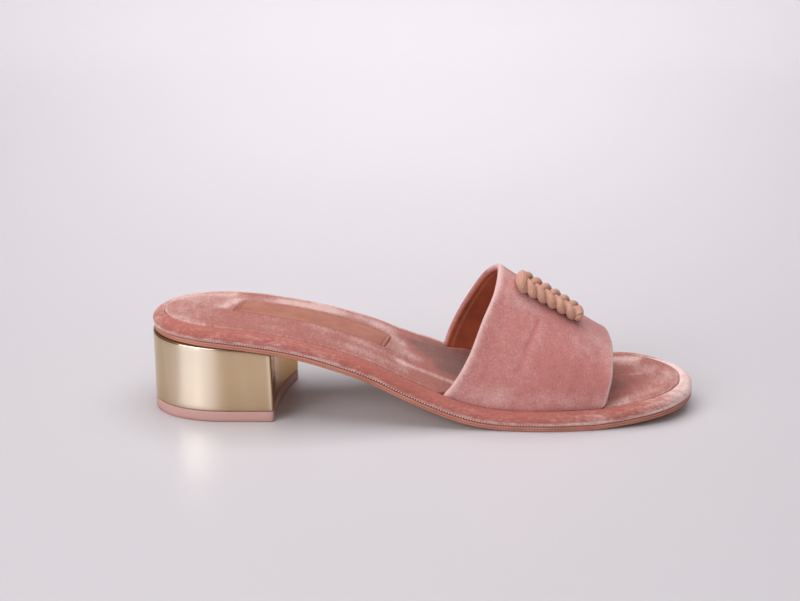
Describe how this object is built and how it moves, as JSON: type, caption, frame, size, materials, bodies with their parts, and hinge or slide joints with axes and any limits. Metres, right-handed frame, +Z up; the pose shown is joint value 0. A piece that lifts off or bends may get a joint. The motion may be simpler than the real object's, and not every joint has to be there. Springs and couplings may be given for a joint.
{
  "type": "heeled mule",
  "caption": "Open-toe velvet mule for the right foot: broad hollow vamp band, padded footbed with a rolled rand, and a low metal-plated block heel.",
  "frame": {"origin": "on the floor, under the middle of the shoe's box", "axes": "+X from heel to toe, +Y to the inner (medial) side of the right foot, +Z up"},
  "size_m": [0.254, 0.0868, 0.067],
  "materials": {
    "outsole_leather": "smooth terracotta-pink leather edge",
    "heel_plating": "mirror-polished pale gold plating",
    "lift_rubber": "satin pink rubber",
    "rand_velvet": "dusty rose velvet",
    "sock_velvet": "dusty rose velvet, brushed in patches",
    "label_leather": "plain tan leather",
    "vamp_velvet": "dusty rose velvet, terracotta lining",
    "cord_suede": "tan suede"
  },
  "bodies": {
    "root": {"outsole": "outsole_leather", "heel_block": "heel_plating", "top_lift": "lift_rubber", "footbed": "rand_velvet", "sock": "sock_velvet", "label": "label_leather", "vamp": "vamp_velvet", "ornament": "cord_suede"}
  },
  "joints": []
}
